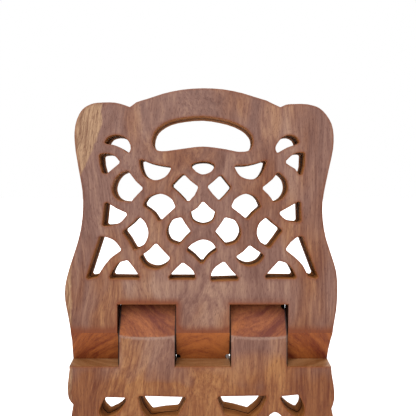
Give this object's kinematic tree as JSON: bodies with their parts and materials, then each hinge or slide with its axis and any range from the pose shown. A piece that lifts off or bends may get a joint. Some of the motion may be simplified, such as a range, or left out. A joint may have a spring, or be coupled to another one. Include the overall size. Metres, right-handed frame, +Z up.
{
  "type": "folding quran stand",
  "caption": "Folding wooden book stand of two pierced leaves from one split board, interlocked by wooden hinge fingers, with a handle slot above and an arch between its feet.",
  "frame": {"origin": "centre of the bounding box's base: the folded stand rests on its feet on the plane Z = 0", "axes": "+Z up along the board from the feet to the handle slot, +X along the hinge axis to the right as seen from the front, -Y out of the front face"},
  "size_m": [0.1716, 0.0254, 0.3052],
  "materials": {
    "rosewood": "satin oiled, straight grained, brown with a purple cast, pale sapwood at one edge"
  },
  "bodies": {
    "front_upper_leaf": {"three_finger_leaf": "rosewood"},
    "back_upper_leaf": {"two_finger_leaf": "rosewood"}
  },
  "joints": [
    {"name": "leaf_fold", "type": "hinge", "parent": "front_upper_leaf", "child": "back_upper_leaf", "pos_m": [0, 0, 0.1497], "axis": [-1, 0, 0], "range_deg": [0, 112]}
  ]
}
